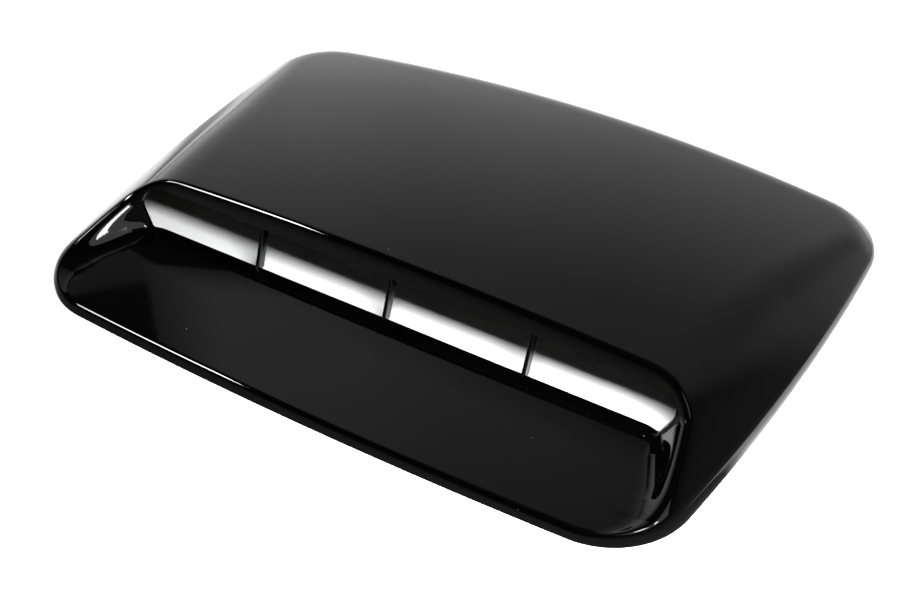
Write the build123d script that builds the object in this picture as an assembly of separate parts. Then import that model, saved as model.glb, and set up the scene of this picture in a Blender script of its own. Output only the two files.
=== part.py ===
from build123d import *
import os
from math import copysign, cos, hypot, radians, tan

# Bonnet scoop: one moulded shell, open underneath, with three upright bars across its mouth.
# Millimetres. +Z is up, the mouth faces -Y and the origin is the middle of the flat underside.

# Plan outline, from virtual corner to virtual corner
length = 470.0
front_width = 532.0
rear_width = 604.0
front_bow = 8.6
rear_bow = 38.8
side_bow = 11.5
corner_radius = 67.0

# Shell wall and the upright return around its edge
wall = 3.0
front_rim = 10.0
rear_rim = 4.5
rim_round = 3.0

# Flanks and roof
flank_slope = 40.0
shoulder_reach = 22.0
lip_height = 54.5
lip_fall = 2.5
roof_radius = 2040.0
crown_radius = 4960.0

# Tray in front of the mouth, between two cheeks that fade out at the front corners
mouth_setback = 114.0
tray_front = 9.5
tray_mouth = 7.5
wall_lean = 22.0
cheek_width = 48.0
cheek_power = 1.5
tray_corner = 14.0

# Heights over which surfaces blend; edges of the inner face blend inner_ease times as wide
foot_reach = 15.0
ridge_reach = 30.0
lip_reach = 14.0
inner_ease = 3.0

# Opening in the mouth wall and the bars left across it
sill_height = 9.0
opening_height = 32.0
sill_width = 458.0
opening_flare = 17.0
opening_top_round = 12.0
opening_sill_round = 4.0
bar_count = 3
bar_pitch = 121.6
bar_thickness = 3.0
bar_depth = 9.0

# Spacing of the cross-sections that the skin is lofted through, and of the points along each
skirt = 18.0
edge_band = 80.0
edge_step = 7.0
roof_step = 18.0
across_step = 30.0
tray_step = 10.0
mouth_step = 5.0

half_width = max(front_width, rear_width) / 2
front_y = -length / 2
rear_y = length / 2
mouth_y = front_y + mouth_setback
lean = tan(radians(wall_lean))
crest_y = mouth_y + (lip_height - tray_mouth) * lean

# Each edge of the plan is an arc of a large circle
front_radius = ((front_width / 2) ** 2 + front_bow**2) / (2 * front_bow)
rear_radius = ((rear_width / 2) ** 2 + rear_bow**2) / (2 * rear_bow)
side_edge = ThreePointArc(
    (front_width / 2, front_y + front_bow),
    ((front_width + rear_width) / 4 + side_bow, (front_bow - rear_bow) / 2),
    (rear_width / 2, rear_y - rear_bow),
)


def plan_outline(inset):
    """Overlap of the four large circles, with round corners, set in all round."""
    centre = side_edge.arc_center
    front = Pos(0, front_y + front_radius) * Circle(front_radius - inset)
    rear = Pos(0, rear_y - rear_radius) * Circle(rear_radius - inset)
    right = Pos(centre.X, centre.Y) * Circle(side_edge.radius - inset)
    left = Pos(-centre.X, centre.Y) * Circle(side_edge.radius - inset)
    plan = front & rear & right & left
    return fillet(plan.vertices(), corner_radius - inset).face()


def soften(first, second, reach):
    """Height that a rounded edge takes off, or a rounded foot adds, where two surfaces cross."""
    overlap = max(reach - abs(first - second), 0) / reach
    return overlap * overlap * reach / 4


def rounded_edge(first, second, reach):
    return min(first, second) - soften(first, second, reach)


def rounded_foot(first, second, reach):
    return max(first, second) + soften(first, second, reach)


def skin_height(x, y, depth, inset):
    """Height of the skin at a point that lies depth inside the outline, inset below the outer face."""
    way_back = (y - front_y) / length
    rim = front_rim + (rear_rim - front_rim) * way_back
    flank = rim + depth * tan(radians(flank_slope)) - inset / cos(radians(flank_slope))
    behind = max(y - crest_y, 0)
    fall = behind * tan(radians(lip_fall)) + behind**2 / (2 * roof_radius)
    roof = lip_height - fall - x**2 / (2 * crown_radius) - inset
    dome = rounded_edge(flank, roof, min(shoulder_reach, max(roof + inset - rim, wall)))

    way_in = max(y - front_y, 0) / mouth_setback
    cheek = cheek_width * way_in**cheek_power
    floor = tray_front + (tray_mouth - tray_front) * min(way_in, 1) - inset
    past_side = cheek - depth
    past_wall = y - mouth_y
    past_corner = hypot(max(past_side + tray_corner, 0), max(past_wall + tray_corner, 0))
    beyond = min(max(past_side, past_wall), -tray_corner) + past_corner
    mouth_wall = floor + (beyond - inset / cos(radians(wall_lean))) / lean
    least = wall / 2
    tray = rounded_foot(floor, mouth_wall, max(min(foot_reach, cheek), least))
    on_flank = min(max((roof - flank) / ridge_reach, 0), 1)
    edge_reach = lip_reach + (ridge_reach - lip_reach) * on_flank
    ease = 1 + (inner_ease - 1) * inset / wall
    return rounded_edge(dome, tray, ease * max(min(edge_reach, 2 * cheek), least))


def edge_depth(outline, x, y):
    """Distance inside the outline, negative outside it."""
    gap = outline.outer_wire().distance_to(Vertex(x, y))
    return gap if outline.is_inside((x, y)) else -min(gap, skirt)


def spread(start, stop, step):
    """Even steps from start up to, but not including, stop."""
    count = round((stop - start) / step)
    return [start + (stop - start) * i / count for i in range(count)]


def section_places():
    """Where the sections stand along the length, closest together at the mouth and at the rear edge."""
    foot_y = mouth_y - foot_reach
    brow_y = crest_y + 2 * lip_reach
    tail_y = rear_y - edge_band / 2
    places = spread(front_y - skirt, foot_y, tray_step)
    places += spread(foot_y, brow_y, mouth_step)
    places += spread(brow_y, tail_y, roof_step)
    return places + spread(tail_y, rear_y + skirt + edge_step, edge_step)


def section_ways():
    """Where the points of a section stand, from a little past the middle out over the right flank."""
    inside = half_width - edge_band
    right = spread(0, inside, across_step) + spread(inside, half_width + skirt + edge_step, edge_step)
    return [-2 * across_step, -across_step] + right


def section_bow(place):
    """Bow of a section: that of the front edge, then none at the mouth, then that of the rear edge."""
    if place < mouth_y:
        return front_bow * (mouth_y - place) / mouth_setback
    return -rear_bow * max(place - crest_y, 0) / (rear_y - crest_y)


def skin_section(outline, place, inset):
    """Section of the skin, a spline whose points keep their distance from the side edges."""
    inside = half_width - edge_band
    ways = section_ways()
    points = []
    for way in ways:
        y = place + section_bow(place) * (way / half_width) ** 2
        side_x = side_edge.arc_center.X + (side_edge.radius**2 - (y - side_edge.arc_center.Y) ** 2) ** 0.5
        over_flank = side_x - half_width + abs(way)
        over_roof = abs(way) * (side_x - edge_band) / inside
        x = copysign(over_flank if abs(way) > inside else over_roof, way)
        points.append((x, y, skin_height(x, y, edge_depth(outline, x, y), inset)))
    along = [(way - ways[0]) / (ways[-1] - ways[0]) for way in ways]
    return Wire([Edge.make_spline(points, parameters=along)])


def under_skin(outline, inset):
    """Right half of everything inside the plan outline and below the skin, both set in alike."""
    skin = Shell.make_loft([skin_section(outline, place, inset) for place in section_places()])
    below = Solid.extrude(skin.face(), Vector(0, 0, -2 * lip_height))
    plan = plan_outline(inset) & Pos(half_width, 0) * Rectangle(2 * half_width, 2 * length)
    return extrude(Pos(0, 0, -inset) * plan, 2 * lip_height) & below


def mouth_cutter():
    """Block of the opening's shape, run back through the mouth wall."""
    half = sill_width / 2
    top = sill_height + opening_height
    shape = make_face(
        Polyline(
            (-half, sill_height),
            (half, sill_height),
            (half + opening_flare, top),
            (-half - opening_flare, top),
            close=True,
        )
    )
    shape = fillet(shape.vertices().sort_by(Axis.Y)[:2], opening_sill_round)
    shape = fillet(shape.vertices().sort_by(Axis.Y)[-2:], opening_top_round)
    start = mouth_y - tray_corner
    stop = crest_y + 2 * bar_depth
    return extrude(Plane.XZ.offset(-start) * shape, -(stop - start))


def bar(x):
    """Upright bar that follows the lean of the mouth wall, from under the sill up into the lip."""
    low = sill_height - wall
    high = sill_height + opening_height + wall
    low_y = mouth_y + (low - tray_mouth) * lean
    high_y = mouth_y + (high - tray_mouth) * lean
    side = make_face(
        Polyline(
            (low_y, low),
            (low_y + bar_depth, low),
            (high_y + bar_depth, high),
            (high_y, high),
            close=True,
        )
    )
    return extrude(Plane.YZ.offset(x - bar_thickness / 2) * side, bar_thickness)


outline = plan_outline(0)
outer = under_skin(outline, 0)
rim_edges = outer.edges().filter_by(lambda e: (e @ 0.5).Z > rear_rim / 2 and (e @ 0.5).X > wall)
outer = fillet(rim_edges.filter_by(lambda e: abs((e % 0.5).Z) < 0.7), rim_round)
half = outer - under_skin(outline, wall) - mouth_cutter()
shell = half + mirror(half, Plane.YZ)
for index in range(bar_count):
    shell += bar((index - (bar_count - 1) / 2) * bar_pitch)

os.makedirs("parts", exist_ok=True)
export_step(shell, "parts/scoop_shell.step")
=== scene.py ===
import math

import bpy
import numpy as np
from bpy.props import FloatProperty, FloatVectorProperty, IntProperty, PointerProperty
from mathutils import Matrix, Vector


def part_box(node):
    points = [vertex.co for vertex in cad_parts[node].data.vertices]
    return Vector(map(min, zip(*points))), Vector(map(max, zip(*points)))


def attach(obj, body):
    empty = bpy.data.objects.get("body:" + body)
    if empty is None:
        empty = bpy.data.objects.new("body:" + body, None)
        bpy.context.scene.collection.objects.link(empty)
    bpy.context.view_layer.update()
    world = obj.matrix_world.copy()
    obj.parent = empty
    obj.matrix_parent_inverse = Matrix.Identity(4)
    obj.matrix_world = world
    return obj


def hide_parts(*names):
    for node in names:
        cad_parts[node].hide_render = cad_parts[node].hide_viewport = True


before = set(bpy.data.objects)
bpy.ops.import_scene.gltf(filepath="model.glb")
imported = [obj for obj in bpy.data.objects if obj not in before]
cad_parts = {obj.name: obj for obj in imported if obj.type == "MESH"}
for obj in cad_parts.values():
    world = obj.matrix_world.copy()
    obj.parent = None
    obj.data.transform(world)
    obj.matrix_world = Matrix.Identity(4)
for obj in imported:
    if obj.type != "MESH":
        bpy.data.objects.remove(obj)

bl_info = {
    "name": "Bonnet Scoop",
    "version": (1, 0, 0),
    "blender": (4, 5, 0),
    "location": "View3D > Sidebar > Scoop",
    "description": "Builds a glossy moulded bonnet scoop on its CAD frame and lights it on a white floor",
    "category": "Object",
}

NODE = "scoop_shell"
BODY = "root"
LOW, HIGH = (Vector(corner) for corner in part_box(NODE))
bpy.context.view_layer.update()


# Settings that a user may change


def metres(name, description, default):
    """A length in metres."""
    return FloatProperty(name=name, description=description, default=default, min=0.0, unit="LENGTH", precision=4)


def degrees(name, description, default):
    """An angle, given in degrees and kept in radians."""
    return FloatProperty(name=name, description=description, default=math.radians(default), subtype="ANGLE")


def share(name, description, default):
    """A value from 0 to 1."""
    return FloatProperty(name=name, description=description, default=default, min=0.0, max=1.0, precision=3)


def level(name, description, default):
    """A brightness of 0 or more."""
    return FloatProperty(name=name, description=description, default=default, min=0.0, precision=3)


def grey(name, description, default):
    """A colour that is grey by default."""
    return FloatVectorProperty(
        name=name,
        description=description,
        subtype="COLOR",
        size=3,
        min=0.0,
        max=1.0,
        default=(default, default, default),
    )


class ScoopPlan(bpy.types.PropertyGroup):
    """Outline seen from above: four bowed edges with round corners."""

    length: metres("Length", "Front edge to rear edge along the middle", HIGH.y - LOW.y)
    front_width: metres("Front Width", "Between the virtual front corners", 0.532)
    rear_width: metres("Rear Width", "Between the virtual rear corners", 0.604)
    front_bow: metres("Front Bow", "How far the front edge bows out", 0.0086)
    rear_bow: metres("Rear Bow", "How far the rear edge bows out", 0.0388)
    side_bow: metres("Side Bow", "How far each side bows out", 0.0115)
    corner_radius: metres("Corner Radius", "Radius of the four corners", 0.067)


class ScoopForm(bpy.types.PropertyGroup):
    """Heights, slopes and roundings of the moulded skin."""

    wall: metres("Wall", "Thickness of the moulding", 0.003)
    front_rim: metres("Front Rim", "Height of the edge return at the front", 0.010)
    rear_rim: metres("Rear Rim", "Height of the edge return at the rear", 0.0045)
    rim_round: metres("Rim Round", "Greatest rounding over the edge return", 0.005)
    flank_slope: degrees("Flank Slope", "Slope of the flanks above level", 40.0)
    shoulder_reach: metres("Shoulder Reach", "Height over which flank and roof blend", 0.030)
    lip_height: metres("Lip Height", "Height of the roof above the mouth", 0.0545)
    lip_fall: degrees("Lip Fall", "Slope of the roof just behind the lip", 2.5)
    roof_radius: metres("Roof Radius", "Radius of the roof along the length", 2.04)
    crown_radius: metres("Crown Radius", "Radius of the roof across the width", 4.96)
    mouth_setback: metres("Mouth Setback", "Front edge to the foot of the mouth wall", 0.114)
    tray_front: metres("Tray Front", "Height of the tray at the front edge", 0.0095)
    tray_mouth: metres("Tray Mouth", "Height of the tray at the mouth, before it rises", 0.0072)
    tray_rise: metres("Tray Rise", "How far the tray rises just before the mouth", 0.0020)
    tray_run: metres("Tray Run", "Length of that rise", 0.040)
    wall_lean: degrees("Wall Lean", "Lean of the mouth wall from upright", 22.0)
    cheek_width: metres("Cheek Width", "Width of a cheek beside the mouth", 0.054)
    cheek_lean: degrees("Cheek Lean", "Lean of a cheek's inner side from upright", 31.9)
    cheek_power: FloatProperty(name="Cheek Power", description="How fast the cheeks narrow forwards", default=1.37)
    cheek_bulge: FloatProperty(name="Cheek Bulge", description="Extra width of the cheeks half way", default=0.25)
    tray_corner: metres("Tray Corner", "Rounding where cheek and mouth wall meet", 0.006)
    foot_reach: metres("Foot Reach", "Height over which tray and cheek blend", 0.022)
    sill_reach: metres("Sill Reach", "Height over which tray and mouth wall blend", 0.0015)
    ridge_reach: metres("Ridge Reach", "Height over which cheek and flank blend", 0.026)
    lip_reach: metres("Lip Reach", "Height over which the lip rolls over", 0.017)


class ScoopMouth(bpy.types.PropertyGroup):
    """Opening in the mouth wall and the bars across it."""

    sill_height: metres("Sill Height", "Lower edge of the opening", 0.009)
    opening_height: metres("Opening Height", "Lower edge to upper edge", 0.032)
    sill_width: metres("Sill Width", "Width of the opening at the sill", 0.458)
    opening_flare: metres("Opening Flare", "How much further each end reaches at the top", 0.017)
    top_round: metres("Top Round", "Radius of the upper corners", 0.012)
    sill_round: metres("Sill Round", "Radius of the lower corners", 0.004)
    bar_count: IntProperty(name="Bars", description="Upright bars across the mouth", default=3, min=0)
    bar_pitch: metres("Bar Pitch", "Middle of one bar to the next", 0.1216)
    bar_thickness: metres("Bar Thickness", "Thickness of a bar", 0.003)
    bar_depth: metres("Bar Depth", "Depth of a bar from front to back", 0.009)
    bar_round: metres("Bar Round", "Rounding of the bar's edges", 0.0006)


class ScoopFinish(bpy.types.PropertyGroup):
    """Gloss black finish of the moulding."""

    black: grey("Black", "Colour of the moulding", 0.0004)
    underside: grey("Underside", "Colour of the dull underside", 0.018)
    dust: grey("Dust", "Colour of the dust specks", 0.22)
    gloss: share("Gloss", "Roughness of the show side", 0.028)
    haze: share("Haze", "Roughness that cloudy places of the show side have on top", 0.012)
    back: share("Back", "Roughness of the underside", 0.42)


class ScoopStage(bpy.types.PropertyGroup):
    """Floor, light and camera."""

    floor: grey("Floor", "Colour of the floor", 0.80)
    lift: level("Lift", "Glow that keeps the floor white for the camera", 0.8)
    # Painted shade: the share to which the floor in front of the object is darkened in the gloss
    front_painted_shade: share("Front Gloss", "Share of the floor's light that the gloss shows in front of the object", 0.08)
    sky: level("Sky", "Brightness of the soft light from all round", 0.04)
    lens: FloatProperty(name="Lens", description="Focal length in millimetres", default=47.99, min=1.0)
    distance: metres("Distance", "Camera to the point it looks at", 0.9656)
    azimuth: degrees("Azimuth", "Camera's turn from straight ahead of the mouth", 30.58)
    elevation: degrees("Elevation", "Camera's height above level", 41.37)


# Plan outline


def outline_circles(plan):
    """The circles that the front, rear and right edges lie on, and the centres of the right-hand corners."""
    front_y = -plan.length / 2
    rear_y = plan.length / 2
    front_radius = ((plan.front_width / 2) ** 2 + plan.front_bow**2) / (2 * plan.front_bow)
    rear_radius = ((plan.rear_width / 2) ** 2 + plan.rear_bow**2) / (2 * plan.rear_bow)
    front = (np.array((0.0, front_y + front_radius)), front_radius)
    rear = (np.array((0.0, rear_y - rear_radius)), rear_radius)
    side = circle_through(
        (plan.front_width / 2, front_y + plan.front_bow),
        ((plan.front_width + plan.rear_width) / 4 + plan.side_bow, (plan.front_bow - plan.rear_bow) / 2),
        (plan.rear_width / 2, rear_y - plan.rear_bow),
    )
    radius = plan.corner_radius
    front_corner = crossing(front, side, radius, lower=True)
    rear_corner = crossing(rear, side, radius, lower=False)
    return front, rear, side, front_corner, rear_corner


def circle_through(first, second, third):
    """Centre and radius of the circle through three points."""
    a, b, c = (np.array(point) for point in (first, second, third))
    rows = 2 * np.array((b - a, c - a))
    centre = np.linalg.solve(rows, np.array((b @ b - a @ a, c @ c - a @ a)))
    return centre, float(np.linalg.norm(a - centre))


def crossing(first, second, inset, lower):
    """Right-hand point that lies inset inside both circles, at the front or at the rear."""
    (a, ra), (b, rb) = first, second
    ra, rb = ra - inset, rb - inset
    gap = np.linalg.norm(b - a)
    along = (ra**2 - rb**2 + gap**2) / (2 * gap)
    away = math.sqrt(ra**2 - along**2)
    step = (b - a) / gap
    foot = a + along * step
    ends = [foot + away * np.array((-step[1], step[0])), foot - away * np.array((-step[1], step[0]))]
    ends = [end for end in ends if end[0] > 0]
    return min(ends, key=lambda end: end[1]) if lower else max(ends, key=lambda end: end[1])


# Height of the skin

RIM_SHARE = 0.55  # greatest rounding of the rim, as a share of the rim's height
BESIDE_START = 0.3  # how much of the cheek's wide foot is there where cheek and mouth wall are equally near
BESIDE_RATE = 2  # how fast the rest sets in, for each cheek width nearer to the cheek


def mouth_line(plan, form):
    """Where the foot of the mouth wall and the crest of the lip stand along Y."""
    mouth_y = -plan.length / 2 + form.mouth_setback
    crest_y = mouth_y + (form.lip_height - form.tray_mouth) * math.tan(form.wall_lean)
    return mouth_y, crest_y


def soften(first, second, reach):
    """Height that a rounded edge takes off, or a rounded foot adds, where two surfaces cross."""
    overlap = np.maximum(reach - np.abs(first - second), 0) / reach
    return overlap**3 * reach / 6


def rounded_edge(first, second, reach):
    """The lower of two surfaces, with their crossing rounded off."""
    return np.minimum(first, second) - soften(first, second, reach)


def rounded_foot(first, second, reach):
    """The higher of two surfaces, with their crossing filled in."""
    return np.maximum(first, second) + soften(first, second, reach)


def skin_height(plan, form, x, y, depth):
    """Height of the outer skin at points that lie depth inside the outline."""
    front_y = -plan.length / 2
    mouth_y, crest_y = mouth_line(plan, form)
    lean = math.tan(form.wall_lean)
    rim = form.front_rim + (form.rear_rim - form.front_rim) * (y - front_y) / plan.length
    flank = rim + depth * math.tan(form.flank_slope)
    behind = np.maximum(y - crest_y, 0)
    fall = behind * math.tan(form.lip_fall) + behind**2 / (2 * form.roof_radius)
    roof = form.lip_height - fall - x**2 / (2 * form.crown_radius)
    dome = rounded_edge(flank, roof, np.minimum(form.shoulder_reach, np.maximum(roof - rim, form.wall)))

    way_in = np.maximum(y - front_y, 0) / form.mouth_setback
    cheek = form.cheek_width * way_in**form.cheek_power * (1 + form.cheek_bulge * np.maximum(1 - way_in, 0))
    floor = form.tray_front + (form.tray_mouth - form.tray_front) * np.minimum(way_in, 1)
    floor += form.tray_rise * np.clip((y - mouth_y) / form.tray_run + 1, 0, 1) ** 2
    past_side = (cheek - depth) * lean / math.tan(form.cheek_lean)
    past_wall = y - mouth_y
    corner = form.tray_corner
    past_corner = np.hypot(np.maximum(past_side + corner, 0), np.maximum(past_wall + corner, 0))
    beyond = np.minimum(np.maximum(past_side, past_wall), -corner) + past_corner
    mouth_wall = floor + beyond / lean

    least = form.wall / 2
    beside = np.clip(BESIDE_RATE * (past_side - past_wall) / form.cheek_width + BESIDE_START, 0, 1)
    foot = form.sill_reach + (form.foot_reach - form.sill_reach) * beside
    tray = rounded_foot(floor, mouth_wall, np.maximum(np.minimum(foot, cheek), least))
    on_flank = np.clip((roof - flank) / form.ridge_reach, 0, 1)
    edge_reach = form.lip_reach + (form.ridge_reach - form.lip_reach) * on_flank
    skin = rounded_edge(dome, tray, np.maximum(np.minimum(edge_reach, 2 * cheek), least))
    radius = np.minimum(form.rim_round, RIM_SHARE * rim)
    into_round = np.clip(1 - depth / radius, 0, 1)
    return skin - radius * (1 - np.sqrt(1 - into_round**2))


# Grid of the skin: rings that follow the outline, and a patch of columns and rows inside them

RIM_RINGS = 6
BORDER_RINGS = 48
MIDDLE_COLUMNS = 70
MIDDLE_ROWS = 124
MOUTH_ROWS = 72  # rows of the patch that lie beside the mouth
MOUTH_BAND = 0.04  # how far those rows reach to either side of the mouth wall's foot
ROW_BLUR = 9  # rows over which the spacing changes
COLUMN_PULL = 0.09  # how strongly columns are drawn towards the flanks


def ring_depths(plan, form):
    """Depth of each ring of the border: round the rim, then evenly in to where the corners come to a point."""
    turn = np.linspace(0, math.pi / 2, RIM_RINGS + 1)
    rim = form.rim_round * (1 - np.cos(turn))
    inner = np.linspace(form.rim_round, plan.corner_radius, BORDER_RINGS - RIM_RINGS + 1)
    return np.concatenate((rim, inner[1:]))


def row_ways(start, stop, dense_start, dense_stop):
    """Way along a side for each row, from 0 to 1, closest together beside the mouth."""
    spare = MIDDLE_ROWS - MOUTH_ROWS
    before = round(spare * (dense_start - start) / (dense_start - start + stop - dense_stop))
    places = np.interp(
        np.arange(MIDDLE_ROWS + 1),
        (0, before, before + MOUTH_ROWS, MIDDLE_ROWS),
        (start, dense_start, dense_stop, stop),
    )
    padded = np.pad(places, ROW_BLUR // 2, mode="reflect", reflect_type="odd")
    smooth = np.convolve(padded, np.ones(ROW_BLUR) / ROW_BLUR, mode="valid")
    return (smooth - smooth[0]) / (smooth[-1] - smooth[0])


def turned(centre, radius, heading):
    """Points on a circle, heading measured from +X."""
    return centre + radius[..., None] * np.stack((np.cos(heading), np.sin(heading)), -1)


def heading_of(vector):
    """Heading of a vector, measured from +X."""
    return math.atan2(vector[1], vector[0])


class SkinGrid:
    """Maps a rectangular grid onto the plan: rings that follow the outline, and a patch inside them."""

    def __init__(self, plan, form):
        self.front, self.rear, self.side, self.front_corner, self.rear_corner = outline_circles(plan)
        self.depths = ring_depths(plan, form)
        self.corner_radius = plan.corner_radius
        self.columns = MIDDLE_COLUMNS + 2 * BORDER_RINGS
        self.rows = MIDDLE_ROWS + 2 * BORDER_RINGS
        self.front_heading = heading_of(self.front_corner - self.front[0])
        self.rear_heading = heading_of(self.rear_corner - self.rear[0])
        self.side_low = heading_of(self.front_corner - self.side[0])
        self.side_high = heading_of(self.rear_corner - self.side[0])
        ways = np.linspace(0, 1, MIDDLE_COLUMNS + 1)
        self.column_ways = ways - COLUMN_PULL * np.sin(2 * math.pi * ways)
        mouth_y, _ = mouth_line(plan, form)
        self.row_ways = row_ways(
            self.front_corner[1], self.rear_corner[1], mouth_y - MOUTH_BAND, mouth_y + MOUTH_BAND
        )

    def edge_points(self, edge, depth, ways):
        """Points along the front, rear or right edge, between its round corners, at one depth."""
        if edge == "front":
            left = -math.pi - self.front_heading
            return turned(self.front[0], self.front[1] - depth, left + (self.front_heading - left) * ways)
        if edge == "rear":
            left = math.pi - self.rear_heading
            return turned(self.rear[0], self.rear[1] - depth, left + (self.rear_heading - left) * ways)
        turn = self.side_low + (self.side_high - self.side_low) * ways
        return turned(self.side[0], self.side[1] - depth, turn)

    def corner_points(self, corner, depth, ways):
        """Points round a right-hand corner at one depth, from the front or rear edge (0) to the side (1)."""
        centre = self.front_corner if corner == "front" else self.rear_corner
        start = self.front_heading if corner == "front" else self.rear_heading
        stop = self.side_low if corner == "front" else self.side_high
        return turned(centre, self.corner_radius - depth, start + (stop - start) * ways)

    def place(self, column, row):
        """Plan position and ring of every grid point, from its column and row."""
        k = BORDER_RINGS
        right = column > self.columns - column
        across = np.where(right, self.columns - column, column)
        ring = np.minimum(np.minimum(across, np.minimum(row, self.rows - row)), k)
        depth = self.depths[ring]
        t = self.column_ways[np.clip(column - k, 0, MIDDLE_COLUMNS)]
        s = self.row_ways[np.clip(row - k, 0, MIDDLE_ROWS)]

        mirror = np.array((-1.0, 1.0))
        depth_k = np.full(column.shape, self.depths[k])
        front = self.edge_points("front", depth_k, t)
        rear = self.edge_points("rear", depth_k, t)
        side = self.edge_points("side", depth_k, s)
        first, last = self.front_corner, self.rear_corner
        t2, s2 = t[..., None], s[..., None]
        point = (1 - s2) * front + s2 * rear + (1 - t2) * side * mirror + t2 * side
        point -= (1 - s2) * ((1 - t2) * first * mirror + t2 * first) + s2 * ((1 - t2) * last * mirror + t2 * last)

        border = ring < k
        in_front = border & (row == ring)
        in_rear = border & (self.rows - row == ring)
        beside = border & (across == ring) & ~in_front & ~in_rear
        over_front = in_front & (across >= k)
        over_rear = in_rear & (across >= k)
        over_side = beside & (row >= k) & (self.rows - row >= k)
        point[over_front] = self.edge_points("front", depth, t)[over_front]
        point[over_rear] = self.edge_points("rear", depth, t)[over_rear]
        along_side = self.edge_points("side", depth, s)
        point[over_side] = np.where(right[..., None], along_side, along_side * mirror)[over_side]
        spare = np.maximum(k - ring, 1)
        for name, from_edge in (("front", row), ("rear", self.rows - row)):
            near = border & (across < k) & (from_edge < k)
            on_edge = near & (from_edge == ring)
            ways = np.where(on_edge, 0.5 - (across - ring) / spare / 2, 0.5 + (from_edge - ring) / spare / 2)
            arc = self.corner_points(name, depth, ways)
            point[near] = np.where(right[..., None], arc, arc * mirror)[near]
        return point, ring

    def depth_of(self, point, ring):
        """Distance of each point inside the outline."""
        folded = np.stack((np.abs(point[..., 0]), point[..., 1]), -1)
        gaps = [radius - np.linalg.norm(point - centre, axis=-1) for centre, radius in (self.front, self.rear)]
        gaps.append(self.side[1] - np.linalg.norm(folded - self.side[0], axis=-1))
        inside = np.minimum.reduce(gaps)
        return np.where(ring < BORDER_RINGS, self.depths[ring], inside)


# Modelling

SAME_PLACE = 1e-6  # gap below which two coordinates count as equal
TOP_SEGMENTS = 16
SILL_SEGMENTS = 6
BAR_SEGMENTS = 3
SMOOTH_ANGLE = math.radians(50)


def use_only(obj):
    """Makes one object the selected and active one."""
    bpy.ops.object.select_all(action="DESELECT")
    obj.select_set(True)
    bpy.context.view_layer.objects.active = obj


def apply_modifier(obj, kind, **settings):
    """Adds a modifier with these settings and applies it."""
    use_only(obj)
    modifier = obj.modifiers.new(kind.title(), kind)
    for name, value in settings.items():
        setattr(modifier, name, value)
    bpy.ops.object.modifier_apply(modifier=modifier.name)


def select_vertices(mesh, chosen):
    """Selects vertices by a mask, from object mode."""
    mesh.vertices.foreach_set("select", chosen)
    mesh.edges.foreach_set("select", np.zeros(len(mesh.edges), dtype=bool))
    mesh.polygons.foreach_set("select", np.zeros(len(mesh.polygons), dtype=bool))


def vertex_places(mesh):
    """Vertex coordinates as an array."""
    places = np.empty(len(mesh.vertices) * 3)
    mesh.vertices.foreach_get("co", places)
    return places.reshape(-1, 3)


def make_skin(plan, form):
    """Outer skin: a grid laid over the plan, raised to the skin's height, with its edge drawn down to the floor."""
    grid = SkinGrid(plan, form)
    bpy.ops.object.select_all(action="DESELECT")
    bpy.ops.mesh.primitive_grid_add(x_subdivisions=grid.columns, y_subdivisions=grid.rows, size=2)
    skin = bpy.context.object
    flat = vertex_places(skin.data)
    column = np.rint((flat[:, 0] + 1) / 2 * grid.columns).astype(int)
    row = np.rint((flat[:, 1] + 1) / 2 * grid.rows).astype(int)
    point, ring = grid.place(column, row)
    depth = grid.depth_of(point, ring)
    height = skin_height(plan, form, point[:, 0], point[:, 1], depth)
    skin.data.vertices.foreach_set("co", np.column_stack((point, height)).ravel())
    skin.data.update()

    bpy.context.tool_settings.mesh_select_mode = (False, True, False)
    bpy.ops.object.mode_set(mode="EDIT")
    bpy.ops.mesh.select_all(action="DESELECT")
    bpy.ops.mesh.select_non_manifold(extend=False, use_wire=False, use_boundary=True, use_multi_face=False)
    bpy.ops.mesh.extrude_edges_move(TRANSFORM_OT_translate={"value": (0, 0, -form.front_rim)})
    bpy.ops.object.mode_set(mode="OBJECT")
    lowered = np.empty(len(skin.data.vertices), dtype=bool)
    skin.data.vertices.foreach_get("select", lowered)
    places = vertex_places(skin.data)
    places[lowered, 2] = 0.0
    skin.data.vertices.foreach_set("co", places.ravel())
    bpy.ops.object.mode_set(mode="EDIT")
    bpy.ops.mesh.select_all(action="SELECT")
    bpy.ops.mesh.normals_make_consistent(inside=False)
    bpy.ops.object.mode_set(mode="OBJECT")
    return skin


def make_opening(plan, form, mouth):
    """Block of the opening's shape, which cuts through the mouth wall."""
    mouth_y, crest_y = mouth_line(plan, form)
    start = mouth_y - form.tray_corner / 2
    stop = crest_y + 2 * mouth.bar_depth
    middle = mouth.sill_height + mouth.opening_height / 2
    bpy.ops.object.select_all(action="DESELECT")
    bpy.ops.mesh.primitive_cube_add(size=1)
    block = bpy.context.object
    block.scale = (mouth.sill_width, stop - start, mouth.opening_height)
    block.location = (0, (start + stop) / 2, middle)
    bpy.ops.object.transform_apply(location=True, rotation=True, scale=True)
    select_vertices(block.data, vertex_places(block.data)[:, 2] > middle)
    bpy.context.tool_settings.mesh_select_mode = (True, False, False)
    bpy.ops.object.mode_set(mode="EDIT")
    wider = 1 + 2 * mouth.opening_flare / mouth.sill_width
    bpy.ops.transform.resize(value=(wider, 1, 1), center_override=(0, 0, 0))
    bpy.ops.object.mode_set(mode="OBJECT")
    top_half = math.pi / 4 - math.atan2(mouth.opening_flare, mouth.opening_height) / 2
    sill_half = math.pi / 2 - top_half
    low = mouth.sill_height + mouth.opening_height / 4
    round_edges(block, lambda z: z > middle, mouth.top_round / math.tan(top_half), TOP_SEGMENTS)
    round_edges(block, lambda z: z < low, mouth.sill_round / math.tan(sill_half), SILL_SEGMENTS)
    return block


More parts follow.
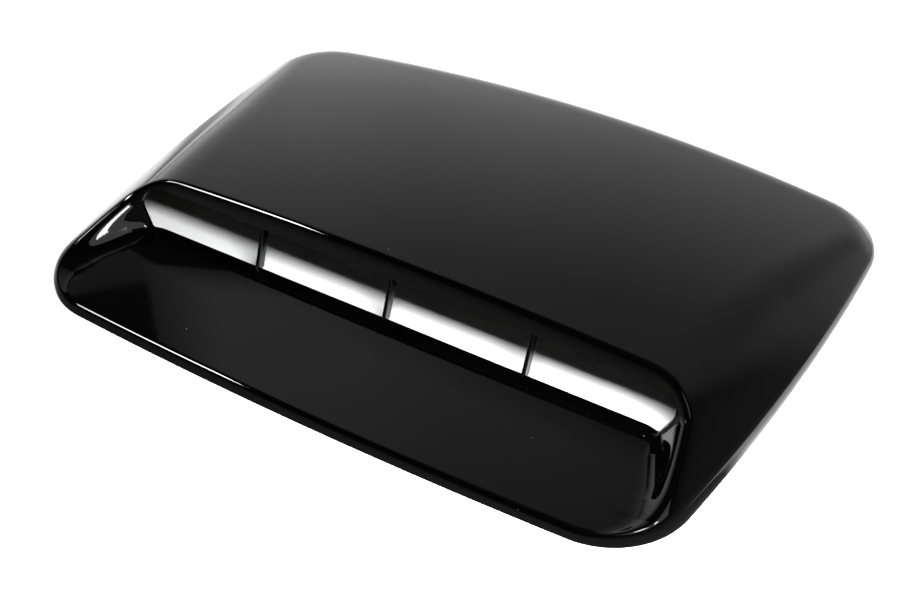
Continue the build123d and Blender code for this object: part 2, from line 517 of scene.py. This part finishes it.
def round_edges(block, wanted, reach, segments):
    """Bevels the block's lengthwise edges at the wanted height."""
    mesh = block.data
    places = vertex_places(mesh)
    chosen = []
    for edge in mesh.edges:
        a, b = (places[index] for index in edge.vertices)
        lengthwise = abs(a[0] - b[0]) < SAME_PLACE and abs(a[2] - b[2]) < SAME_PLACE
        chosen.append(lengthwise and wanted(a[2]))
    select_vertices(mesh, np.zeros(len(mesh.vertices), dtype=bool))
    mesh.edges.foreach_set("select", np.array(chosen))
    use_only(block)
    bpy.context.tool_settings.mesh_select_mode = (False, True, False)
    bpy.ops.object.mode_set(mode="EDIT")
    bpy.ops.mesh.bevel(offset_type="ABSOLUTE", offset=reach, segments=segments, profile=0.5, affect="EDGES")
    bpy.ops.object.mode_set(mode="OBJECT")


def make_bar(form, mouth, x, mouth_y):
    """Upright bar that follows the lean of the mouth wall."""
    lean = math.tan(form.wall_lean)
    low = mouth.sill_height - form.wall
    high = mouth.sill_height + mouth.opening_height + form.wall
    low_y = mouth_y + (low - form.tray_mouth) * lean
    bpy.ops.object.select_all(action="DESELECT")
    bpy.ops.mesh.primitive_cube_add(size=1)
    bar = bpy.context.object
    bar.scale = (mouth.bar_thickness, mouth.bar_depth, high - low)
    bar.location = (x, low_y + mouth.bar_depth / 2, (low + high) / 2)
    bpy.ops.object.transform_apply(location=True, rotation=True, scale=True)
    select_vertices(bar.data, vertex_places(bar.data)[:, 2] > (low + high) / 2)
    bpy.context.tool_settings.mesh_select_mode = (True, False, False)
    bpy.ops.object.mode_set(mode="EDIT")
    bpy.ops.transform.translate(value=(0, (high - low) * lean, 0))
    bpy.ops.mesh.select_all(action="SELECT")
    bpy.ops.mesh.bevel(offset=mouth.bar_round, segments=BAR_SEGMENTS, profile=0.5, affect="EDGES")
    bpy.ops.object.mode_set(mode="OBJECT")
    return bar


# Nodes: each operand below is a socket to link from, or a value to set


def node(tree, kind, place, **settings):
    """Adds a node at a place in the editor."""
    made = tree.nodes.new(kind)
    made.location = place
    for name, value in settings.items():
        setattr(made, name, value)
    return made


def feed(tree, socket, value):
    """Links a socket from another one, or sets its value."""
    if isinstance(value, bpy.types.NodeSocket):
        tree.links.new(value, socket)
    else:
        socket.default_value = value


def ramp(tree, place, source, stops):
    """Grey colour ramp through (position, value) stops."""
    made = node(tree, "ShaderNodeValToRGB", place)
    elements = made.color_ramp.elements
    elements.remove(elements[1])
    for index, (position, value) in enumerate(stops):
        element = elements.new(position) if index else elements[0]
        element.position = position
        element.color = (value, value, value, 1)
    feed(tree, made.inputs["Fac"], source)
    return made.outputs["Color"]


def map_range(tree, place, source, from_range, to_range=(0.0, 1.0)):
    """Map Range node, clamped."""
    made = node(tree, "ShaderNodeMapRange", place)
    names = ("Value", "From Min", "From Max", "To Min", "To Max")
    for name, value in zip(names, (source, *from_range, *to_range)):
        feed(tree, made.inputs[name], value)
    return made.outputs["Result"]


def maths(tree, place, operation, *operands):
    """Math node."""
    made = node(tree, "ShaderNodeMath", place, operation=operation)
    for socket, value in zip(made.inputs, operands):
        feed(tree, socket, value)
    return made.outputs[0]


def mix_colour(tree, place, factor, first, second, blend="MIX"):
    """Mix Color node."""
    made = node(tree, "ShaderNodeMix", place, data_type="RGBA", blend_type=blend)
    for name, value in (("Factor", factor), ("A", first), ("B", second)):
        feed(tree, made.inputs[name], value)
    return made.outputs["Result"]


def mix_shader(tree, place, factor, first, second):
    """Mix Shader node."""
    made = node(tree, "ShaderNodeMixShader", place)
    for socket, value in zip(made.inputs, (factor, first, second)):
        feed(tree, socket, value)
    return made.outputs["Shader"]


def noise(tree, place, vector, scale, detail=2.0):
    """Noise texture."""
    made = node(tree, "ShaderNodeTexNoise", place)
    for name, value in (("Vector", vector), ("Scale", scale), ("Detail", detail)):
        feed(tree, made.inputs[name], value)
    return made.outputs["Fac"]


# Gloss black finish

SPECKS_PER_METRE = 90.0
SPECK_EDGE = (0.035, 0.02)  # distance from a cell's middle over which a speck sets in
SPECK_RARITY = 0.94  # share of cells that stay clean
CLOUDS_PER_METRE = 14.0
CLOUD_DETAIL = 4.0
CLOUD_RANGE = (0.35, 0.7)  # noise values over which the haze sets in
WAVES_PER_METRE = 260.0
WAVE_STRENGTH = 0.02
WAVE_HEIGHT = 0.0004
UNDERSIDE_TURN = (0.0, -0.08)  # upward part of the normal over which show side turns to underside
REFRACTION = 1.5


def moulding_surface_group():
    """Node group for the moulding's surface: fine waviness, cloudiness and dust specks."""
    group = bpy.data.node_groups.new("Moulding Surface", "ShaderNodeTree")
    face = group.interface
    face.new_socket("Vector", in_out="INPUT", socket_type="NodeSocketVector")
    scale = face.new_socket("Specks Per Metre", in_out="INPUT", socket_type="NodeSocketFloat")
    scale.default_value = SPECKS_PER_METRE
    for name in ("Specks", "Cloud", "Wave"):
        face.new_socket(name, in_out="OUTPUT", socket_type="NodeSocketFloat")
    start = node(group, "NodeGroupInput", (-800, 0))
    end = node(group, "NodeGroupOutput", (600, 0))
    vector = start.outputs["Vector"]

    cells = node(group, "ShaderNodeTexVoronoi", (-500, 200), feature="F1")
    feed(group, cells.inputs["Vector"], vector)
    feed(group, cells.inputs["Scale"], start.outputs["Specks Per Metre"])
    near = map_range(group, (-250, 240), cells.outputs["Distance"], SPECK_EDGE)
    chance = node(group, "ShaderNodeSeparateColor", (-250, 0))
    feed(group, chance.inputs["Color"], cells.outputs["Color"])
    rare = maths(group, (-60, 60), "GREATER_THAN", chance.outputs["Red"], SPECK_RARITY)
    specks = maths(group, (140, 200), "MULTIPLY", near, rare)
    cloud = noise(group, (-250, -200), vector, CLOUDS_PER_METRE, CLOUD_DETAIL)
    wave = noise(group, (-250, -450), vector, WAVES_PER_METRE)
    for name, source in (("Specks", specks), ("Cloud", cloud), ("Wave", wave)):
        feed(group, end.inputs[name], source)
    return group


def gloss_black_material(finish):
    """Gloss black moulded plastic, smooth on the show side and dull on its underside."""
    material = bpy.data.materials.new("gloss_black_moulding")
    material.use_nodes = True
    tree = material.node_tree
    shader = tree.nodes["Principled BSDF"]
    place = node(tree, "ShaderNodeTexCoord", (-1200, 0))
    surface = node(tree, "ShaderNodeGroup", (-950, 0), node_tree=moulding_surface_group())
    feed(tree, surface.inputs["Vector"], place.outputs["Object"])
    facing = node(tree, "ShaderNodeSeparateXYZ", (-950, -300))
    feed(tree, facing.inputs["Vector"], place.outputs["Normal"])
    upward = facing.outputs["Z"]

    below = map_range(tree, (-700, 400), upward, UNDERSIDE_TURN)
    clean = mix_colour(tree, (-500, 400), below, (*finish.black, 1), (*finish.underside, 1))
    colour = mix_colour(tree, (-300, 250), surface.outputs["Specks"], clean, (*finish.dust, 1))
    even = map_range(tree, (-700, -300), upward, UNDERSIDE_TURN, (finish.gloss, finish.back))
    haze = map_range(tree, (-700, -60), surface.outputs["Cloud"], CLOUD_RANGE, (0.0, finish.haze))
    rough = maths(tree, (-450, -150), "ADD", even, haze)
    bump = node(tree, "ShaderNodeBump", (-300, -350))
    feed(tree, bump.inputs["Strength"], WAVE_STRENGTH)
    feed(tree, bump.inputs["Distance"], WAVE_HEIGHT)
    feed(tree, bump.inputs["Height"], surface.outputs["Wave"])
    feed(tree, shader.inputs["Base Color"], colour)
    feed(tree, shader.inputs["Roughness"], rough)
    feed(tree, shader.inputs["Normal"], bump.outputs["Normal"])
    feed(tree, shader.inputs["IOR"], REFRACTION)
    return material


class SCOOP_OT_moulding(bpy.types.Operator):
    """Builds the one-piece shell with its mouth and bars"""

    bl_idname = "scoop.moulding"
    bl_label = "Moulding"

    def execute(self, context):
        plan, form = context.scene.scoop_plan, context.scene.scoop_form
        mouth, finish = context.scene.scoop_mouth, context.scene.scoop_finish
        skin = make_skin(plan, form)
        apply_modifier(skin, "SOLIDIFY", thickness=form.wall, offset=-1, use_even_offset=True)
        opening = make_opening(plan, form, mouth)
        apply_modifier(skin, "BOOLEAN", operation="DIFFERENCE", solver="EXACT", object=opening)
        bpy.data.objects.remove(opening)
        mouth_y, _ = mouth_line(plan, form)
        for index in range(mouth.bar_count):
            x = (index - (mouth.bar_count - 1) / 2) * mouth.bar_pitch
            bar = make_bar(form, mouth, x, mouth_y)
            apply_modifier(skin, "BOOLEAN", operation="UNION", solver="EXACT", object=bar)
            bpy.data.objects.remove(bar)
        use_only(skin)
        bpy.ops.object.shade_smooth_by_angle(angle=SMOOTH_ANGLE)
        skin.name = "scoop_moulding"
        skin.data.name = "scoop_moulding"
        skin.data.materials.clear()
        skin.data.materials.append(gloss_black_material(finish))
        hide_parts(NODE)
        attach(skin, BODY)
        return {"FINISHED"}


# Floor, in metres. What the gloss shows of it and what the camera sees of it are set apart; the gloss sees the floor
# with painted shade and painted light.

FLOOR_SIZE = 12
GRAIN_PER_METRE = 40.0
GRAIN_SHADE = 0.985
FRONT_FADE = (-0.225, -0.195)  # Y over which the floor in front comes up out of its painted shade in the gloss
FRONT_SLANT = 0.35  # how far that fade moves back for each metre to the right
LEFT_FADE = (-0.27, -0.29)  # X over which the floor at the left takes painted shade and painted light in the gloss
LEFT_FLOOR_REACH = (-0.06, 0.22)  # Y that this painted shade and light span
# Painted shade and painted light on the floor beside the left flank, as the gloss shows it: darker in the middle,
# brighter than the floor towards the rear
LEFT_PAINTED_SHADE_AND_LIGHT = (
    (0.0, 1.0), (0.12, 0.95), (0.19, 0.8), (0.26, 0.5), (0.34, 0.36), (0.42, 0.38), (0.52, 0.5),
    (0.63, 0.9), (0.76, 1.25), (1.0, 1.25),
)
UNDER_LEFT = (-0.290, -0.285)  # edges of the floor under the mouth, which is not lifted
UNDER_RIGHT = (0.262, 0.270)
UNDER_MIDDLE = -0.065
UNDER_HALF = (0.066, 0.075)


def painted_floor_shade_in_gloss(tree, x, y, stage):
    """Share of the floor's light that the gloss shows, as painted shade: little in front, painted shade and painted
    light at the left.
    """
    # Painted shade on the floor in front, as the gloss shows it, fading out towards the rear
    right = maths(tree, (-1300, -50), "MAXIMUM", x, 0.0)
    moved = maths(tree, (-1150, -50), "MULTIPLY", right, FRONT_SLANT)
    behind = maths(tree, (-1000, -50), "SUBTRACT", y, moved)
    front = map_range(tree, (-850, -50), behind, FRONT_FADE, (stage.front_painted_shade, 1.0))
    # Painted shade and painted light at the left, along Y
    along = map_range(tree, (-1150, 500), y, LEFT_FLOOR_REACH)
    left_painted_shades = ramp(tree, (-1000, 500), along, LEFT_PAINTED_SHADE_AND_LIGHT)
    change = maths(tree, (-700, 500), "SUBTRACT", left_painted_shades, 1.0)
    left = map_range(tree, (-1000, 700), x, LEFT_FADE)
    change = maths(tree, (-550, 500), "MULTIPLY", change, left)
    uneven = maths(tree, (-400, 500), "ADD", change, 1.0)
    return maths(tree, (-250, 500), "MULTIPLY", uneven, front)


def floor_lift(tree, x, y, stage):
    """Glow that the camera sees, left out under the mouth so that the floor's own shade shows there."""
    left = map_range(tree, (-1000, -300), x, UNDER_LEFT, (1.0, 0.0))
    right = map_range(tree, (-1000, -500), x, UNDER_RIGHT)
    beside = maths(tree, (-850, -400), "MAXIMUM", left, right)
    along = maths(tree, (-1150, -700), "SUBTRACT", y, UNDER_MIDDLE)
    away = maths(tree, (-1000, -700), "ABSOLUTE", along)
    beyond = map_range(tree, (-850, -700), away, UNDER_HALF)
    outside = maths(tree, (-700, -500), "MAXIMUM", beside, beyond)
    return maths(tree, (-500, -400), "MULTIPLY", outside, stage.lift)


def floor_material(stage):
    """White floor that keeps the object's shadow, lifted to white for the camera, with painted shade and light in
    the gloss, and clear from below.
    """
    material = bpy.data.materials.new("white_floor")
    material.use_nodes = True
    tree = material.node_tree
    tree.nodes.remove(tree.nodes["Principled BSDF"])
    place = node(tree, "ShaderNodeTexCoord", (-1500, 100))
    parts = node(tree, "ShaderNodeSeparateXYZ", (-1300, -300))
    feed(tree, parts.inputs["Vector"], place.outputs["Object"])
    x, y = parts.outputs["X"], parts.outputs["Y"]

    grain = noise(tree, (-1000, 250), place.outputs["Object"], GRAIN_PER_METRE)
    darker = (*(GRAIN_SHADE * value for value in stage.floor), 1)
    colour = mix_colour(tree, (-750, 250), grain, darker, (*stage.floor, 1))
    lit = node(tree, "ShaderNodeBsdfDiffuse", (-500, 250))
    feed(tree, lit.inputs["Color"], colour)
    # Painted shade: the floor's colour as the gloss sees it, darkened in front and shaded and brightened at the left
    painted_shade_colour = mix_colour(tree, (-750, 50), 1.0, colour, painted_floor_shade_in_gloss(tree, x, y, stage), blend="MULTIPLY")
    painted_shade_diffuse = node(tree, "ShaderNodeBsdfDiffuse", (-500, 50))
    feed(tree, painted_shade_diffuse.inputs["Color"], painted_shade_colour)
    glow = node(tree, "ShaderNodeEmission", (-300, -300))
    feed(tree, glow.inputs["Strength"], floor_lift(tree, x, y, stage))
    lifted = node(tree, "ShaderNodeAddShader", (-100, -100))
    feed(tree, lifted.inputs[0], lit.outputs["BSDF"])
    feed(tree, lifted.inputs[1], glow.outputs["Emission"])

    path = node(tree, "ShaderNodeLightPath", (-300, 550))
    side = node(tree, "ShaderNodeNewGeometry", (100, 400))
    clear = node(tree, "ShaderNodeBsdfTransparent", (100, -100))
    # Glossy rays see the floor with its painted shade and painted light
    light = mix_shader(tree, (-100, 200), path.outputs["Is Glossy Ray"], lit.outputs["BSDF"], painted_shade_diffuse.outputs["BSDF"])
    seen = mix_shader(tree, (100, 100), path.outputs["Is Camera Ray"], light, lifted.outputs["Shader"])
    surface = mix_shader(tree, (250, 100), side.outputs["Backfacing"], seen, clear.outputs["BSDF"])
    feed(tree, tree.nodes["Material Output"].inputs["Surface"], surface)
    return material


# Backdrop that the gloss sees. Height is the upward part of a direction, turn is degrees from +Y towards +X.

BACKDROP_RISE = (
    (0.0, 1.0), (0.12, 0.97), (0.2, 0.75), (0.26, 0.62), (0.33, 0.54), (0.41, 0.44), (0.5, 0.32),
    (0.56, 0.25), (0.62, 0.24), (0.68, 0.245), (0.70, 0.23), (0.74, 0.19), (0.77, 0.15), (0.82, 0.03), (1.0, 0.01),
)
BACKDROP_SWEEP = (
    (-180, 0.10), (-112, 0.16), (-80, 0.85), (-60, 1.0), (-45, 0.97), (-36, 0.93), (-30, 0.78), (-24, 0.74),
    (-17, 0.63), (-8, 0.62), (20, 0.62), (33, 0.60), (40, 0.42), (46, 0.14), (180, 0.08),
)
BACKDROP_LEVEL = 1.55
# Two dark places high at the left, one with soft edges and one with sharp edges: height, turn, darkness
SOFT_DARK = ((0.53, 0.58), (-44, -48), 0.7)
SHARP_DARK = ((0.598, 0.605), (-47.2, -47.8), 0.95)


def dark_place(tree, drop, height, turn, place):
    """Darkness of a place in the backdrop that lies above a height and beyond a turn."""
    heights, turns, darkness = place
    above = map_range(tree, (-500, -450 - drop), height, heights)
    beyond = map_range(tree, (-500, -650 - drop), turn, [math.radians(value) for value in turns], (0.0, darkness))
    return maths(tree, (-300, -550 - drop), "MULTIPLY", above, beyond)


def studio_world(stage):
    """White for the camera; for light and gloss, a pale backdrop that darkens upwards and towards the front."""
    world = bpy.data.worlds.new("studio")
    world.use_nodes = True
    tree = world.node_tree
    tree.nodes.clear()
    heading = node(tree, "ShaderNodeTexCoord", (-1100, 0))
    parts = node(tree, "ShaderNodeSeparateXYZ", (-900, 0))
    feed(tree, parts.inputs["Vector"], heading.outputs["Generated"])
    height = parts.outputs["Z"]
    turn = maths(tree, (-700, -150), "ARCTAN2", parts.outputs["X"], parts.outputs["Y"])

    wide = map_range(tree, (-500, -150), turn, (-math.pi, math.pi))
    sweep = ramp(tree, (-250, -150), wide, [((angle + 180) / 360, value) for angle, value in BACKDROP_SWEEP])
    rise = ramp(tree, (-250, 350), height, BACKDROP_RISE)
    colour = mix_colour(tree, (250, 50), 1.0, rise, sweep, blend="MULTIPLY")
    soft = dark_place(tree, 0, height, turn, SOFT_DARK)
    sharp = dark_place(tree, 400, height, turn, SHARP_DARK)
    dark = maths(tree, (-100, -750), "MAXIMUM", soft, sharp)
    light = maths(tree, (50, -750), "SUBTRACT", 1.0, dark)
    level = maths(tree, (200, -750), "MULTIPLY", light, BACKDROP_LEVEL)

    in_gloss = node(tree, "ShaderNodeBackground", (500, 50))
    feed(tree, in_gloss.inputs["Color"], colour)
    feed(tree, in_gloss.inputs["Strength"], level)
    all_round = node(tree, "ShaderNodeBackground", (500, -150))
    feed(tree, all_round.inputs["Strength"], stage.sky)
    white = node(tree, "ShaderNodeBackground", (500, 250))
    path = node(tree, "ShaderNodeLightPath", (250, 500))
    unseen = mix_shader(
        tree,
        (700, -50),
        path.outputs["Is Glossy Ray"],
        all_round.outputs["Background"],
        in_gloss.outputs["Background"],
    )
    surface = mix_shader(tree, (800, 100), path.outputs["Is Camera Ray"], unseen, white.outputs["Background"])
    out = node(tree, "ShaderNodeOutputWorld", (900, 0))
    feed(tree, out.inputs["Surface"], surface)
    return world


# Lamps and camera

GLINT_PLACE = (0.555, -0.263, 0.684)
GLINT_TARGET = (0, -0.12, 0)
LAMPS = (
    {
        "name": "right_side",
        "place": (0.45, -0.34, 0.62),
        "target": (0.45, -0.1, 0),
        "size": (0.7, 0.2),
        "watts": 16.0,
        "in_gloss": False,
    },
    {
        "name": "right_glint",
        "place": GLINT_PLACE,
        "target": GLINT_TARGET,
        "size": (0.12, 0.15),
        "watts": 1.4,
        "on_floor": False,
    },
    {
        "name": "right_soft",
        "place": GLINT_PLACE,
        "target": GLINT_TARGET,
        "size": (0.42, 0.42),
        "watts": 0.5,
        "on_floor": False,
    },
    {
        "name": "left_side",
        "place": (-0.86, -0.25, 1.0),
        "target": (-0.25, -0.14, 0),
        "size": (0.3, 0.34),
        "watts": 0.42,
        "spread": 29.0,
        "on_floor": False,
    },
    {
        "name": "rear_left",
        "place": (-0.7, 0.9, 1.0),
        "target": (-0.25, 0.1, 0),
        "size": (0.9, 0.7),
        "watts": 30.0,
        "in_gloss": False,
    },
)
CAMERA_TARGET = (0.038, -0.0683, 0.0)
SENSOR_WIDTH = 36.0


def add_lamp(name, place, target, size, watts, spread=180.0, in_gloss=True, on_floor=True):
    """Soft rectangular lamp that points at a target, seen in the gloss, on the floor or both."""
    data = bpy.data.lights.new(name, "AREA")
    data.shape = "RECTANGLE"
    data.size, data.size_y = size
    data.energy = watts
    data.spread = math.radians(spread)
    lamp = bpy.data.objects.new(name, data)
    bpy.context.collection.objects.link(lamp)
    lamp.location = place
    lamp.rotation_euler = (Vector(target) - Vector(place)).to_track_quat("-Z", "Y").to_euler()
    lamp.visible_glossy = in_gloss
    lamp.visible_diffuse = on_floor


def add_camera(stage):
    """Camera at the photo's view."""
    data = bpy.data.cameras.new("camera")
    data.lens = stage.lens
    data.sensor_width = SENSOR_WIDTH
    camera = bpy.data.objects.new("camera", data)
    bpy.context.collection.objects.link(camera)
    flat = math.cos(stage.elevation)
    away = Vector((math.sin(stage.azimuth) * flat, -math.cos(stage.azimuth) * flat, math.sin(stage.elevation)))
    camera.location = Vector(CAMERA_TARGET) + away * stage.distance
    camera.rotation_euler = (math.pi / 2 - stage.elevation, 0, stage.azimuth)
    return camera


class SCOOP_OT_stage(bpy.types.Operator):
    """Sets the white floor, the soft light and the camera"""

    bl_idname = "scoop.stage"
    bl_label = "Stage"

    def execute(self, context):
        scene = context.scene
        stage = scene.scoop_stage
        bpy.ops.object.select_all(action="DESELECT")
        bpy.ops.mesh.primitive_plane_add(size=FLOOR_SIZE)
        floor = context.object
        floor.name = "floor"
        floor.data.materials.append(floor_material(stage))
        scene.world = studio_world(stage)
        for lamp in LAMPS:
            add_lamp(**lamp)
        scene.camera = add_camera(stage)
        scene.view_settings.view_transform = "Standard"
        return {"FINISHED"}


class SCOOP_PT_panel(bpy.types.Panel):
    """Lists the scoop's pieces and sizes"""

    bl_idname = "SCOOP_PT_panel"
    bl_label = "Bonnet Scoop"
    bl_space_type = "VIEW_3D"
    bl_region_type = "UI"
    bl_category = "Scoop"

    def draw(self, context):
        for name in GROUPS:
            box = self.layout.box()
            group = getattr(context.scene, name)
            for key in group.__annotations__:
                box.prop(group, key)
        for operator in (SCOOP_OT_moulding, SCOOP_OT_stage):
            self.layout.operator(operator.bl_idname)


GROUPS = {
    "scoop_plan": ScoopPlan,
    "scoop_form": ScoopForm,
    "scoop_mouth": ScoopMouth,
    "scoop_finish": ScoopFinish,
    "scoop_stage": ScoopStage,
}
CLASSES = (*GROUPS.values(), SCOOP_OT_moulding, SCOOP_OT_stage, SCOOP_PT_panel)


def register():
    """Registers the classes and puts their settings on the scene."""
    for cls in CLASSES:
        bpy.utils.register_class(cls)
    for name, cls in GROUPS.items():
        setattr(bpy.types.Scene, name, PointerProperty(type=cls))


def unregister():
    """Takes the settings off the scene and unregisters the classes."""
    for name in GROUPS:
        delattr(bpy.types.Scene, name)
    for cls in reversed(CLASSES):
        bpy.utils.unregister_class(cls)


def main():
    """Builds the scoop on its stage."""
    register()
    bpy.ops.scoop.moulding()
    bpy.ops.scoop.stage()


if __name__ == "__main__":
    main()
